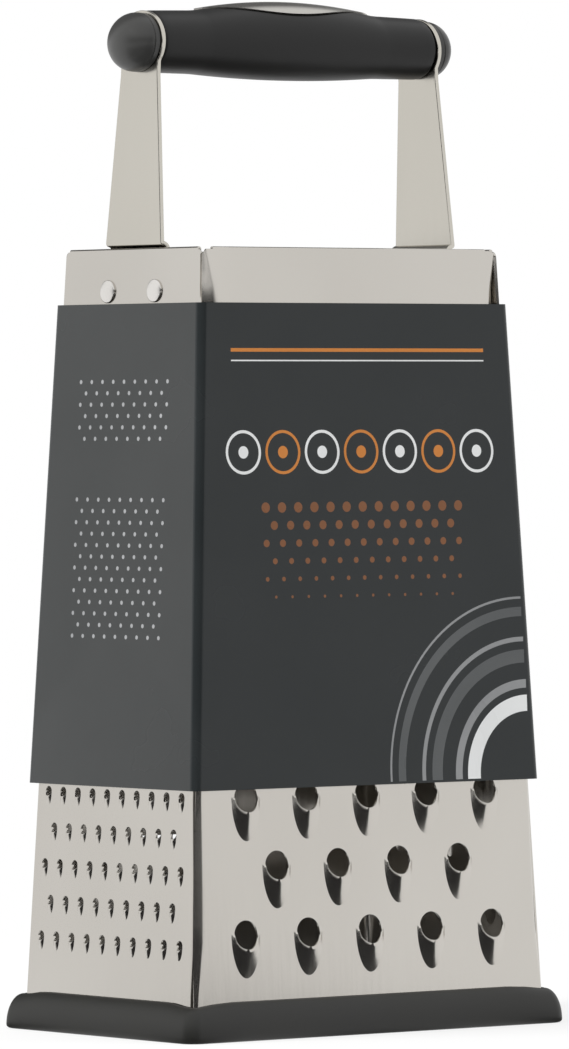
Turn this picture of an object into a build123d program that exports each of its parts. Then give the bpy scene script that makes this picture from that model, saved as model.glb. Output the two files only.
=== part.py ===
from build123d import *
import math
import os

# A four-sided box grater: a tapered body of four sheet steel panels, a strap handle
# with a soft barrel grip, a soft base ring and a card sleeve. All lengths are in mm.
# X runs along the grip, the coarse face looks to -Y, and Z is up from the floor.

# Body as a whole
body_top = 200.0          # height of the rolled top edge over the floor
top_length = 95.8         # outside, along X
top_depth = 57.5          # outside, along Y
foot_length = 114.5
foot_depth = 72.9
sheet = 0.6               # thickness of the steel
overrun = 1.0             # how far a cutter runs past the face it cuts

# Base ring
ring_floor = 2.5          # rubber under the sheet edges
ring_height = 9.8
ring_overhang = 4.4       # how far the ring stands out past the sheet at its lip
ring_corner = 1.6         # outer corner in plan
ring_edge = 0.8           # small round at the floor
ring_fit = 0.15           # slip fit outside the sheet's foot
ring_play = 0.3           # play inside the doubled sheet
ring_wall = 2.0           # inner wall that stands inside the sheets
ring_wall_height = 7.4
ring_level_shares = [0, 0.5, 0.82, 1]
ring_lip_share = 0.2      # of the overhang, left at the lip
ring_groove_corner = 2.0

# Wide panels, with their bent side flanges and folded top edge
bend = 2.8                # outer bend radius
flange_width = 4.8
hem_height = 3.5
hem_inset = 1.4           # the fold stops short of the corner by this
hem_gap = 0.3             # between one panel's fold and the next panel's flange

# Narrow panels, laid over the flanges
seam_foot = 1.4           # from the wide face to the narrow panel's edge
seam_top = 0.9
narrow_corner = 1.2       # rounded top corners

# Teeth. Each is a round hole whose lower rim is pushed out into a pointed hood.
coarse_hole = 3.65        # radius
coarse_raise = 1.35       # how far the cutting lip stands out
coarse_tail = 11.0        # from the hole's centre down to the hood's point
coarse_width = 4.5        # half width of the hood
coarse_row_pitch = 17.25
coarse_first_row = 26.4
coarse_rows = 9
coarse_columns = 5
coarse_pitch_share = 0.355
coarse_steps = 4
coarse_sides = 10
medium_hole = 2.4
medium_raise = 0.8
medium_tail = 7.2
medium_width = medium_hole
medium_row_pitch = 17.25
medium_first_row = 31.5
medium_rows = 9
medium_columns = 6
medium_pitch_share = 0.30
medium_steps = 2
medium_sides = 6
fine_hole = 1.25
fine_raise = 0.7
fine_tail = 4.3
fine_width = fine_hole
fine_row_pitch = 9.27
fine_first_row = 24.1
fine_rows = 13
fine_columns = 10
fine_pitch_share = 0.184
fine_steps = 2
fine_sides = 4

# Slicing blades on the back panel
blade_count = 4
blade_first = 44.5        # height of the first cutting edge
blade_pitch = 38.0
blade_width_share = 0.64  # of the panel's width there
blade_raise = 1.3
blade_slot = 3.8          # opening over the cutting edge
blade_ramp = 13.0         # length of the raised ramp below the edge
blade_cheek = 5.0         # width of the slope at each end

# Handle
grip_axis = 252.3         # height of the handle's end screws
strap = 1.2               # thickness of the legs
head_radius = 8.2         # half height of a leg's oval head
head_depth = 9.5          # and its half depth
leg_head_width = 15.4     # width where the taper runs into the head
leg_root_width = 23.4     # width just over the body
leg_root_rise = 2.0       # that height over the body's top
tab_width = 25.0          # width at the tab's lower end
tab_drop = 19.0           # the tab's lower end, under the body's top
joggle = 1.3              # step inwards, to pass inside the folded edge
joggle_drop = 6.5         # where the step begins, under the body's top
joggle_run = 2.4
leg_bend = 1.0            # inside radius of its bends
rivet_drop = 11.0
rivet_spread = 9.9
rivet_head = 2.95
rivet_dome = 0.8
rivet_brow = 2.5          # radius of the dome half way up
rivet_crown = 1.4         # and of the flat on top
rivet_shank = 1.6
rivet_tail = 2.5
rivet_tail_height = 0.7
rivet_play = 0.1

# Grip, inlay plate and what holds them
grip_end_radius = 7.9     # half height at the ends
grip_fall = 0.45          # what the ends are thinner than the middle, without its swelling
grip_end_depth = 9.3      # half depth at the ends: the barrel is oval there
grip_end_lift = 0.3       # the barrel's axis over the screws' axis
grip_bow = 0.25           # the middle's lift over the ends, without its swelling
swell = 1.6               # the swelling under the inlay plate: half height
swell_depth = 0.7         # half depth
swell_lift = 0.6          # and lift of the axis
swell_reach = 29.0        # where it ends, from the middle
grip_end_round = 1.0
barrel_shares = [0, 0.4, 0.66]   # of the half length, where the facets' bands meet
plate_length = 57.0
plate_width = 15.2
plate_thickness = 0.8
plate_proud = 0.4         # it stands that much over the barrel
plate_fit = 0.1
core_radius = 4.0
core_play = 0.15
core_bore_depth = 12.0
screw_shank = 1.9
screw_reach = 10.0
screw_head = 4.4
screw_head_height = 2.4
screw_play = 0.15
cap_radius = 7.55         # half height
cap_depth = 9.0           # half depth: the caps are oval
cap_rim = 1.6             # straight collar before the dome
cap_dome = 5.7
cap_socket_play = 0.2
dome_shares = [0, 0.22, 0.44, 0.66, 0.88]   # of a quarter turn, where the dome's bands meet
grip_sides = 20           # facets round the barrel and the caps
core_sides = 16
small_sides = 12

# Card sleeve
card = 0.4
sleeve_foot = 63.1
sleeve_top = 185.8
sleeve_side_gap = 0.95    # clear of the fine and medium teeth
sleeve_side_gap_foot = 1.25
sleeve_face_gap = 1.5     # clear of the coarse teeth and the blades
sleeve_crease = 1.8

# Slopes and half sizes that follow from the body
long_slope = (foot_length - top_length) / 2 / (body_top - ring_floor)
deep_slope = (foot_depth - top_depth) / 2 / (body_top - ring_floor)
long_tilt = math.atan(long_slope)
deep_tilt = math.atan(deep_slope)


def half_length(z):
    """Outer half size of the body along X at a height, also above its top"""
    return top_length / 2 + (body_top - z) * long_slope


def wall_inside(z):
    """Inner face of a narrow panel at a height"""
    return half_length(z) - sheet / math.cos(long_tilt)


def half_depth(z):
    """Outer half size of the body along Y at a height"""
    return top_depth / 2 + (body_top - z) * deep_slope


narrow_top = half_depth(body_top) - seam_top   # half width of a narrow panel at its top


def wide_frame(side):
    """The outer face of a wide panel, v up the slope; side is -1 at the front"""
    return Plane(
        origin=(0, side * half_depth(0), 0),
        x_dir=(-side, 0, 0),
        z_dir=(0, side * math.cos(deep_tilt), math.sin(deep_tilt)),
    )


def narrow_frame(side):
    """The outer face of a narrow panel, v up the slope; side is -1 at the left"""
    return Plane(
        origin=(side * half_length(0), 0, 0),
        x_dir=(0, side, 0),
        z_dir=(side * math.cos(long_tilt), 0, math.sin(long_tilt)),
    )


def solid_of(corners, faces):
    """A flat-faced solid from its corners and the corner numbers of each face"""
    sides = [Face(Wire.make_polygon([corners[n] for n in face])) for face in faces]
    return Solid(Shell(sides))


def skinned(rings, split=False):
    """A flat-faced solid over a row of rings with as many points each; split halves its bands' faces"""
    count = len(rings[0])
    corners = [point for ring in rings for point in ring]
    faces = [tuple(range(count)), tuple(range(len(corners) - count, len(corners)))]
    for start in range(0, len(corners) - count, count):
        for n in range(count):
            m = (n + 1) % count
            side = (start + n, start + m, start + count + m, start + count + n)
            faces += [side[:3], (side[0], side[2], side[3])] if split else [side]
    return solid_of(corners, faces)


def turned(stations, sides, stretch=1):
    """A round piece about the Z axis, in flat facets, from its heights and radii; stretch makes it oval"""
    angles = [2 * math.pi * (n + 1 / 2) / sides for n in range(sides)]
    return skinned([[(r * math.cos(a), stretch * r * math.sin(a), z) for a in angles] for z, r in stations])


def hood(half_width, tail, tip, steps, base):
    """Half of an elliptical cone with its tip over the origin, down to the level base"""
    grow = (tip - base) / tip
    angles = [math.pi * n / steps for n in range(steps + 1)]
    rim = [(grow * half_width * math.cos(a), -grow * tail * math.sin(a), base) for a in angles]
    top = len(rim)
    flanks = [(n, n + 1, top) for n in range(steps)]
    floor = tuple(range(top))
    return solid_of(rim + [(0, 0, tip)], flanks + [(steps, 0, top), floor])


def tooth_places(first_row, row_pitch, rows, columns, pitch_share, half_width, tilt):
    """Where the teeth stand on a face: staggered rows that fan out with the taper"""
    places = []
    for row in range(rows):
        z = first_row + row * row_pitch
        count = columns - row % 2
        pitch = pitch_share * half_width(z)
        for column in range(count):
            u = (column - (count - 1) / 2) * pitch
            places.append((u, z / math.cos(tilt)))
    return places


def add_teeth(panel, frame, places, hole, lip, tail, half_width, steps, sides):
    """Push the hoods out of a panel and punch the holes through it"""
    tip = lip / (1 - hole / tail)
    outer = hood(half_width, tail, tip, steps, -sheet / 2)
    inner = Pos(0, 0, -sheet) * hood(half_width, tail, tip, steps, -overrun)
    depth = tip + sheet + 2 * overrun
    punch = Pos(0, 0, -sheet - overrun) * extrude(RegularPolygon(hole, sides), depth)
    at = [frame.location * Pos(u, v, 0) for u, v in places]
    panel = panel + [place * outer for place in at]
    panel = panel - [place * inner for place in at]
    return panel - [place * punch for place in at]


def frustum(z_low, z_high, reach):
    """A flat-sided block; reach gives its -X, +X, -Y and +Y sides at a height"""
    corners = []
    for z in (z_low, z_high):
        left, right, front, back = reach(z)
        corners += [(left, front, z), (right, front, z), (right, back, z), (left, back, z)]
    sides = [(n, (n + 1) % 4, (n + 1) % 4 + 4, n + 4) for n in range(4)]
    return solid_of(corners, [(3, 2, 1, 0), (4, 5, 6, 7)] + sides)


def upright_edges(block):
    """The edges of a block that run up its corners"""
    return block.edges().filter_by(lambda edge: edge.bounding_box().size.Z > overrun)


def tray(z_low, z_high, inset, depth):
    """The block whose front and two bent corners a wide panel follows"""
    def reach(z):
        x = wall_inside(z) - inset / math.cos(long_tilt)
        front = -half_depth(z) + inset / math.cos(deep_tilt)
        return -x, x, front, -half_depth(z) + depth
    block = frustum(z_low, z_high, reach)
    return fillet(upright_edges(block).group_by(Axis.Y)[0], bend - inset)


def fold(frame, half_width, tilt):
    """The top edge folded inwards: a strip behind the sheet and the round of the fold"""
    v_top = (body_top - sheet) / math.cos(tilt)
    strip = Pos(0, v_top - hem_height / 2, -sheet - sheet / 2)
    strip = strip * Box(2 * half_width, hem_height, sheet)
    roll = Pos(0, v_top, -sheet) * Rot(0, 90, 0) * Cylinder(sheet, 2 * half_width)
    return [frame.location * strip, frame.location * roll]


def wide_panel():
    """One wide panel without teeth, as it stands at the front"""
    low = ring_floor
    high = body_top - sheet
    outside = tray(low, high, 0, flange_width)
    inside = tray(low - overrun, high + overrun, sheet, flange_width + overrun)
    flat = wall_inside(body_top) - bend - hem_inset
    notch_start = narrow_top - narrow_corner + hem_gap
    notch_depth = hem_height + sheet + hem_gap
    notch = Pos(0, -notch_start + flange_width, body_top - notch_depth / 2)
    notch = notch * Box(foot_length, 2 * flange_width, notch_depth)
    return outside - inside - notch + fold(wide_frame(-1), flat, deep_tilt)


def narrow_panel(side):
    """One narrow panel without teeth"""
    foot = half_depth(ring_floor) - seam_foot
    top = narrow_top
    v_foot = ring_floor / math.cos(long_tilt) + sheet * math.tan(long_tilt)
    v_top = (body_top - sheet) / math.cos(long_tilt)
    outline = Polyline((-foot, v_foot), (foot, v_foot), (top, v_top), (-top, v_top), close=True)
    face = make_face(outline)
    face = fillet(face.vertices().sort_by(Axis.Y)[-2:], narrow_corner)
    plate = narrow_frame(side).location * extrude(face, -sheet)
    return plate + fold(narrow_frame(side), top - narrow_corner, long_tilt)


def rivet_places():
    """Both rivets of a narrow side, on its face"""
    v = (body_top - rivet_drop) / math.cos(long_tilt)
    return [Pos(-rivet_spread, v, 0), Pos(rivet_spread, v, 0)]


def rivet_holes(side):
    """What the rivets' holes take out of a panel and the tab behind it"""
    radius = rivet_shank + rivet_play
    hole = turned([(-sheet - strap - overrun, radius), (overrun, radius)], small_sides)
    return [narrow_frame(side).location * place * hole for place in rivet_places()]


def front_panel():
    places = tooth_places(
        coarse_first_row, coarse_row_pitch, coarse_rows, coarse_columns,
        coarse_pitch_share, half_length, deep_tilt,
    )
    return add_teeth(
        wide_panel(), wide_frame(-1), places,
        coarse_hole, coarse_raise, coarse_tail, coarse_width, coarse_steps, coarse_sides,
    )


def left_panel():
    places = tooth_places(
        fine_first_row, fine_row_pitch, fine_rows, fine_columns,
        fine_pitch_share, half_depth, long_tilt,
    )
    panel = add_teeth(
        narrow_panel(-1), narrow_frame(-1), places,
        fine_hole, fine_raise, fine_tail, fine_width, fine_steps, fine_sides,
    )
    return panel - rivet_holes(-1)


def right_panel():
    places = tooth_places(
        medium_first_row, medium_row_pitch, medium_rows, medium_columns,
        medium_pitch_share, half_depth, long_tilt,
    )
    panel = add_teeth(
        narrow_panel(1), narrow_frame(1), places,
        medium_hole, medium_raise, medium_tail, medium_width, medium_steps, medium_sides,
    )
    return panel - rivet_holes(1)


def blade_ramp_solid(half_width, base):
    """The raised ramp of one slicing blade, sloping up to its cutting edge at the origin"""
    grow = (blade_raise - base) / blade_raise
    wide = half_width + blade_cheek * grow
    narrow = half_width
    low = -blade_ramp * grow
    corners = [
        (-wide, 0, base), (wide, 0, base), (narrow, low, base), (-narrow, low, base),
        (-half_width, 0, blade_raise), (half_width, 0, blade_raise),
    ]
    faces = [(0, 1, 2, 3), (0, 4, 5, 1), (3, 2, 5, 4), (0, 3, 4), (1, 5, 2)]
    return solid_of(corners, faces)


def back_panel():
    """The wide panel turned to the back, with the slicing blades instead of teeth"""
    panel = Rot(0, 0, 180) * wide_panel()
    ramps, hollows, slots = [], [], []
    for n in range(blade_count):
        z = blade_first + n * blade_pitch
        half = blade_width_share * half_length(z)
        at = wide_frame(1).location * Pos(0, z / math.cos(deep_tilt), 0)
        depth = blade_raise + sheet + 2 * overrun
        opening = Box(2 * half, blade_slot, depth)
        ramps.append(at * blade_ramp_solid(half, -sheet / 2))
        hollows.append(at * Pos(0, 0, -sheet) * blade_ramp_solid(half, -overrun))
        slots.append(at * Pos(0, blade_slot / 2, 0) * opening)
    return panel + ramps - hollows - slots


def strap_line(z):
    """Outer face of a leg over the body, in line with the narrow panel"""
    return half_length(z)


def offset_line(points, distance):
    """The same run of points, moved sideways by the strap's thickness"""
    moved = []
    last = len(points) - 1
    for n, (x, z) in enumerate(points):
        before = points[max(n - 1, 0)]
        after = points[min(n + 1, last)]
        into = Vector(x - before[0], z - before[1])
        out = Vector(after[0] - x, after[1] - z)
        into = (into if n else out).normalized()
        out = (out if n < last else into).normalized()
        middle = (into + out).normalized()
        stretch = distance / into.dot(middle)
        moved.append((x - middle.Y * stretch, z + middle.X * stretch))
    return moved


def right_leg():
    """A strap from its tab inside the narrow panel to the round head at the grip"""
    z_tab = body_top - tab_drop
    z_step = body_top - joggle_drop
    z_root = body_top + leg_root_rise
    z_top = grip_axis + head_radius
    outer = [
        (wall_inside(z_tab), z_tab),
        (wall_inside(z_step), z_step),
        (wall_inside(z_step + joggle_run) - joggle, z_step + joggle_run),
        (wall_inside(body_top) - joggle, body_top + sheet / 2),
        (strap_line(z_root), z_root),
        (strap_line(z_top), z_top),
    ]
    inner = offset_line(outer, strap)
    near = leg_bend
    far = leg_bend + strap
    section = FilletPolyline(
        *outer, *reversed(inner), close=True,
        radius=[0, near, near, near, far, 0, 0, near, near, near, near, 0],
    )
    band = extrude(Plane.XZ * make_face(section), tab_width, both=True)
    z_tangent = grip_axis - head_radius
    front = Polyline(
        (-tab_width / 2, z_tab), (tab_width / 2, z_tab),
        (leg_root_width / 2, z_root), (leg_head_width / 2, z_tangent),
        (leg_head_width / 2, grip_axis), (-leg_head_width / 2, grip_axis),
        (-leg_head_width / 2, z_tangent), (-leg_root_width / 2, z_root),
        close=True,
    )
    outline = make_face(front) + Pos(0, grip_axis) * Ellipse(head_depth, head_radius)
    blank = Plane.YZ * extrude(outline, foot_length)
    radius = screw_shank + screw_play
    hole = turned([(-strap - overrun, radius), (overrun, radius)], small_sides)
    return (band & blank) - end_place(1, strap_line(grip_axis)) * hole - rivet_holes(1)


def rivets(side):
    """Two rivets with domed heads outside and flat tails inside the tab"""
    back = -sheet - strap
    end = back - rivet_tail_height
    brow = rivet_dome / 2
    head = turned([(0, rivet_head), (brow, rivet_brow), (rivet_dome, rivet_crown)], small_sides)
    shank = turned([(end, rivet_shank), (brow, rivet_shank)], small_sides)
    tail = turned([(end, rivet_tail), (back, rivet_tail)], small_sides)
    one = head + shank + tail
    frame = narrow_frame(side).location
    return Compound([frame * place * one for place in rivet_places()])


def leg_inside(z):
    """Inner face of a leg at a height"""
    return strap_line(z) - strap / math.cos(long_tilt)


def between_legs():
    """The space between the two straps round the grip"""
    z_low = grip_axis - 2 * head_radius
    z_high = grip_axis + 2 * head_radius
    low = leg_inside(z_low)
    high = leg_inside(z_high)
    face = make_face(Polyline(
        (-low, z_low), (low, z_low), (high, z_high), (-high, z_high), close=True,
    ))
    return extrude(Plane.XZ * face, foot_depth, both=True)


def outside_leg(side):
    """The space outside one strap round the grip's axis"""
    frame = narrow_frame(side).location
    size = 4 * head_radius
    return frame * Pos(0, grip_axis / math.cos(long_tilt), size / 2) * Box(size, size, size)


def barrel(inset):
    """The grip's swelling form, or one that lies inset under its skin"""
    length = leg_inside(grip_axis)
    stations = [(share * length, inset) for share in barrel_shares]
    stations += [(length - grip_end_round, inset), (length + overrun, inset + grip_end_round)]
    stations = [(-x, drop) for x, drop in reversed(stations[1:])] + stations
    angles = [2 * math.pi * (n + 1 / 2) / grip_sides for n in range(grip_sides)]
    outside = 1 / math.cos(math.pi / grip_sides)
    rings = []
    for x, drop in stations:
        rise = 1 - (x / length) ** 2
        swelling = max(0, 1 - (x / swell_reach) ** 2)
        high = (grip_end_radius + grip_fall * rise + swell * swelling - drop) * outside
        deep = (grip_end_depth + swell_depth * swelling - drop) * outside
        axis = grip_axis + grip_end_lift + grip_bow * rise + swell_lift * swelling
        rings.append([(x, deep * math.cos(a), axis + high * math.sin(a)) for a in angles])
    return skinned(rings, split=True)


def lens(grow):
    """A prism over the grip with the inlay plate's pointed outline"""
    half_long = plate_length / 2 + grow
    half_wide = plate_width / 2 + grow
    outline = make_face(
        ThreePointArc((-half_long, 0), (0, half_wide), (half_long, 0))
        + ThreePointArc((half_long, 0), (0, -half_wide), (-half_long, 0))
    )
    return Pos(0, 0, grip_axis) * extrude(outline, 2 * grip_end_depth)


def core_rod(radius):
    """A round rod along the grip's axis, longer than the gap between the legs"""
    rod = turned([(-top_length / 2, radius), (top_length / 2, radius)], core_sides)
    return Pos(0, 0, grip_axis) * Rot(0, 90, 0) * rod


def grip():
    recess = lens(plate_fit) - barrel(plate_thickness - plate_proud + plate_fit)
    body = barrel(0) & between_legs()
    return body - core_rod(core_radius + core_play) - recess


def inlay_plate():
    return (lens(0) & barrel(-plate_proud)) - barrel(plate_thickness - plate_proud)


def end_place(side, x):
    """A place on the handle's axis, looking outwards"""
    return Pos(side * x, 0, grip_axis) * Rot(0, side * 90, 0)


def grip_core():
    """The tube between the legs, bored at both ends for the screws"""
    core = core_rod(core_radius) & between_legs()
    end = leg_inside(grip_axis)
    radius = screw_shank + screw_play
    bore = turned([(-core_bore_depth, radius), (overrun, radius)], small_sides)
    return core - [end_place(side, end) * bore for side in (-1, 1)]


def end_screw(side):
    """A screw through the head of one leg into the core"""
    end = -strap - screw_reach
    shank = turned([(end, screw_shank), (screw_head_height, screw_shank)], small_sides)
    head = turned([(-overrun, screw_head), (screw_head_height, screw_head)], small_sides)
    place = end_place(side, strap_line(grip_axis))
    return place * shank + (place * head & outside_leg(side))


def cap(side):
    """The domed cap over one end screw"""
    turns = [math.pi / 2 * share for share in dome_shares]
    dome = [(cap_rim + cap_dome * math.sin(a), cap_radius * math.cos(a)) for a in turns]
    body = turned([(-overrun, cap_radius)] + dome, grip_sides, cap_depth / cap_radius)
    radius = screw_head + cap_socket_play
    depth = screw_head_height + cap_socket_play
    socket = turned([(-overrun, radius), (depth, radius)], small_sides)
    place = end_place(side, strap_line(grip_axis))
    return (place * body & outside_leg(side)) - place * socket


def frame_outline(half_x, half_y, corner, z):
    """A rounded rectangle at one height"""
    return Pos(0, 0, z) * RectangleRounded(2 * half_x, 2 * half_y, corner)


def base_ring():
    """The soft frame: a swelling outer wall, a groove for the sheets and an inner wall"""
    lip_x = half_length(ring_height)
    lip_y = half_depth(ring_height)
    levels = [(0, ring_overhang - ring_edge)]
    for share in ring_level_shares:
        z = ring_edge + (ring_height - ring_edge) * share
        levels.append((z, ring_overhang * math.sqrt(1 - share**2 * (1 - ring_lip_share**2))))
    outer = loft([
        frame_outline(lip_x + out, lip_y + out, ring_corner + out / 2, z) for z, out in levels
    ], ruled=True)
    foot_x = foot_length / 2
    foot_y = foot_depth / 2
    doubled = 2 * sheet + ring_play
    inner_x = foot_x - doubled
    inner_y = foot_y - doubled
    groove = frame_outline(foot_x + ring_fit, foot_y + ring_fit, ring_groove_corner, ring_floor)
    island = frame_outline(inner_x, inner_y, bend, ring_floor)
    trench = extrude(groove - island, ring_height)
    step = extrude(frame_outline(inner_x, inner_y, bend, ring_wall_height), ring_height)
    middle = frame_outline(inner_x - ring_wall, inner_y - ring_wall, bend, -overrun)
    return outer - trench - step - extrude(middle, ring_height + 2 * overrun)


def sleeve_tube(outset, margin):
    """A tapered four-sided form with rounded creases, outset from the sleeve's inside"""
    rise = sleeve_top - sleeve_foot
    widen = (sleeve_side_gap_foot - sleeve_side_gap) / rise

    def reach(z):
        gap = sleeve_side_gap + (sleeve_top - z) * widen
        x = half_length(z) + gap + outset
        y = half_depth(z) + sleeve_face_gap + outset
        return -x, x, -y, y
    block = frustum(sleeve_foot - margin, sleeve_top + margin, reach)
    return fillet(upright_edges(block), sleeve_crease + outset)


def card_sleeve():
    return sleeve_tube(card, 0) - sleeve_tube(0, overrun)


def write(name, shape):
    """One file for each piece, under the piece's own name"""
    solids = shape.solids()
    label = Compound(solids) if len(solids) > 1 else solids[0]
    label.label = name
    export_step(label, f"parts/{name}.step")


os.makedirs("parts", exist_ok=True)
write("front_panel", front_panel())
write("left_panel", left_panel())
write("right_panel", right_panel())
write("back_panel", back_panel())
write("right_leg", right_leg())
write("left_leg", mirror(right_leg(), about=Plane.YZ))
write("right_rivets", rivets(1))
write("left_rivets", rivets(-1))
write("grip", grip())
write("inlay_plate", inlay_plate())
write("grip_core", grip_core())
write("right_screw", end_screw(1))
write("left_screw", end_screw(-1))
write("right_cap", cap(1))
write("left_cap", cap(-1))
write("base_ring", base_ring())
write("card_sleeve", card_sleeve())
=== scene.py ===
import math
from dataclasses import dataclass

import bpy
import bmesh
import numpy as np
from mathutils import Matrix, Vector
from mathutils.geometry import delaunay_2d_cdt
from mathutils.kdtree import KDTree

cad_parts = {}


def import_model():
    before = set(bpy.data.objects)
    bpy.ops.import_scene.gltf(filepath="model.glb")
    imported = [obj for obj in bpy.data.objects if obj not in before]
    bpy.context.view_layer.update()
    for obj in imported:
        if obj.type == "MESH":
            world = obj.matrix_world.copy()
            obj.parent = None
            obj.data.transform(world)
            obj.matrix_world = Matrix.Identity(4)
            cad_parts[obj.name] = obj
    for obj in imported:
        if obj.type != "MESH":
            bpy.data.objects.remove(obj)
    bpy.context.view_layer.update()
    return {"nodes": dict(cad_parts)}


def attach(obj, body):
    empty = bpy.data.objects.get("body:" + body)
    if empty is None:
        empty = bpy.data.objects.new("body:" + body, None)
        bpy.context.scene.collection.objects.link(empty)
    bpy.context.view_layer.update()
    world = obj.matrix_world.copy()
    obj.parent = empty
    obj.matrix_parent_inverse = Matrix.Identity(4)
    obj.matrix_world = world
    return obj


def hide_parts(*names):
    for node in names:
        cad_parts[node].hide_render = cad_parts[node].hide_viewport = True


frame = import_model()

MM = 0.001

# The camera, solved from the photo's perspective
PHOTO_HEIGHT = 1049
SENSOR = 36.0
FOCAL_PIXELS = 8500.0
CAMERA_AZIMUTH = math.radians(-37.71)
CAMERA_PITCH = math.radians(0.73)
CAMERA_ROLL = math.radians(-0.23)
CAMERA_DISTANCE = 2192 * MM
CAMERA_SIDE = -0.37 * MM
CAMERA_AIM_HEIGHT = 129.15 * MM
CAMERA_NEAR = 0.05
CAMERA_FAR = 50

# The body, as in the CAD model
BODY_TOP = 200 * MM
TOP_LENGTH = 95.8 * MM
TOP_DEPTH = 57.5 * MM
FOOT_LENGTH = 114.5 * MM
FOOT_DEPTH = 72.9 * MM
SHEET = 0.6 * MM
FOOT_HEIGHT = 2.5 * MM
FLANGE_WIDTH = 4.8 * MM
LONG_SLOPE = (FOOT_LENGTH - TOP_LENGTH) / 2 / (BODY_TOP - FOOT_HEIGHT)
DEEP_SLOPE = (FOOT_DEPTH - TOP_DEPTH) / 2 / (BODY_TOP - FOOT_HEIGHT)
LONG_TILT = math.atan(LONG_SLOPE)
DEEP_TILT = math.atan(DEEP_SLOPE)
EDGE_ROUND = 0.07 * MM

# Folded top edges
HEM_ROLL = 0.65 * MM
HEM_HEIGHT = 3.5 * MM
HEM_STEPS = 8
HEM_COLUMNS = 12
WIDE_HEM_INSET = 3.2 * MM
CORNER_DIP = 1.2 * MM
DIP_POWER = 6
DIP_SPREAD = 1.3

# The bend at the wide panels' sides: how far from the corner the flat face begins, at some heights
BEND_HEIGHTS = [z * MM for z in (0, 10, 25, 40, 62, 100, 150, 186, 198, 200)]
BEND_REACH = [reach * MM for reach in (1.5, 1.8, 3.6, 3.2, 2.2, 3.2, 7.0, 7.8, 2.0, 1.8)]
BEND_SIDE_SHARE = 0.7
BEND_SIDE_MOST = 3.4 * MM
BEND_STEPS = 12
CREASE_ANGLE = 16
CREASE_REACH = 0.002 * MM
PANEL_ROWS = 44
MESH_GAP = 1e-9

# The seams beside the narrow panels
SEAM_HEIGHTS = [62 * MM, 186 * MM]
SEAM_WIDTHS = [1.4 * MM, 0.35 * MM]
NARROW_CORNER = 1.4 * MM
NARROW_CORNER_STEPS = 6
NARROW_HEM_COLUMNS = 10


def half_length(z):
    return TOP_LENGTH / 2 + (BODY_TOP - z) * LONG_SLOPE


def half_depth(z):
    return TOP_DEPTH / 2 + (BODY_TOP - z) * DEEP_SLOPE


def wall_inside(z):
    return half_length(z) - SHEET / math.cos(LONG_TILT)


def bend_reach(z):
    return np.interp(z, BEND_HEIGHTS, BEND_REACH)


def smoothstep(t):
    t = np.clip(t, 0, 1)
    return t * t * (3 - 2 * t)


def between(low, high, steps):
    """Even steps from low to high, with both ends"""
    return [low + (high - low) * n / steps for n in range(steps + 1)]


def quarter_turn(steps, first=0):
    """Angles from 0 to a right angle, from the first step on"""
    return [math.pi / 2 * n / steps for n in range(first, steps + 1)]


def mirrored(edge):
    """An edge's points on the other side, in the opposite order"""
    return [(-u, v) for u, v in reversed(edge)]


def staggered(row, columns, pitch):
    """The places across one row of a pattern; every second row has one less"""
    count = columns - row % 2
    return [(column - (count - 1) / 2) * pitch for column in range(count)]


def linked(name, data):
    """A new object in the scene"""
    made = bpy.data.objects.new(name, data)
    bpy.context.scene.collection.objects.link(made)
    return made


# Materials

NOISE_LOW = 0.3
NOISE_HIGH = 0.7
STEEL_BUMP = 0.0015 * MM
STEEL_TINT_SCALE = (18, 18, 14)
SOFT_TINT_SCALE = (35, 35, 35)
CARD_GRAIN = 1400
CARD_BUMP = 0.003 * MM


def material(name, color, roughness, metallic=0.0, specular=0.5):
    """A new material with its shader set up"""
    made = bpy.data.materials.new(name)
    made.use_nodes = True
    shader = made.node_tree.nodes["Principled BSDF"]
    shader.inputs["Base Color"].default_value = (*color, 1)
    shader.inputs["Metallic"].default_value = metallic
    shader.inputs["Roughness"].default_value = roughness
    shader.inputs["Specular IOR Level"].default_value = specular
    return made


def add_node(made, kind, inputs=None, **settings):
    """A new shader node; inputs holds a value, or another node's output, for each socket"""
    node = made.node_tree.nodes.new("ShaderNode" + kind)
    for name, value in settings.items():
        setattr(node, name, value)
    for socket, value in (inputs or {}).items():
        if isinstance(value, bpy.types.NodeSocket):
            made.node_tree.links.new(value, node.inputs[socket])
        else:
            node.inputs[socket].default_value = value
    return node


def to_surface(made, socket, value):
    """Link a value to the material's main shader"""
    made.node_tree.links.new(value, made.node_tree.nodes["Principled BSDF"].inputs[socket])


def ramp(made, value, low, high, start, end, smooth=False):
    """A value from low to high turned into one from start to end"""
    inputs = {"Value": value, "From Min": low, "From Max": high, "To Min": start, "To Max": end}
    kind = "SMOOTHSTEP" if smooth else "LINEAR"
    return add_node(made, "MapRange", inputs, interpolation_type=kind).outputs["Result"]


def noise(made, scale, detail):
    """A noise in the object's own metres; scale is per metre along each axis"""
    place = add_node(made, "TexCoord").outputs["Object"]
    stretched = add_node(made, "Mapping", {"Vector": place, "Scale": scale}).outputs["Vector"]
    return add_node(made, "TexNoise", {"Vector": stretched, "Scale": 1.0, "Detail": detail}).outputs["Fac"]


def add_roughness(made, value, low, high):
    to_surface(made, "Roughness", ramp(made, value, NOISE_LOW, NOISE_HIGH, low, high))


def add_bump(made, value, height):
    bump = add_node(made, "Bump", {"Height": value, "Strength": 1.0, "Distance": height})
    to_surface(made, "Normal", bump.outputs["Normal"])


def add_tint(made, value, dark, light):
    tint = add_node(made, "ValToRGB", {"Fac": value})
    ends = tint.color_ramp.elements
    ends[0].position, ends[0].color = NOISE_LOW, (*dark, 1)
    ends[1].position, ends[1].color = NOISE_HIGH, (*light, 1)
    to_surface(made, "Base Color", tint.outputs["Color"])


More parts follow.
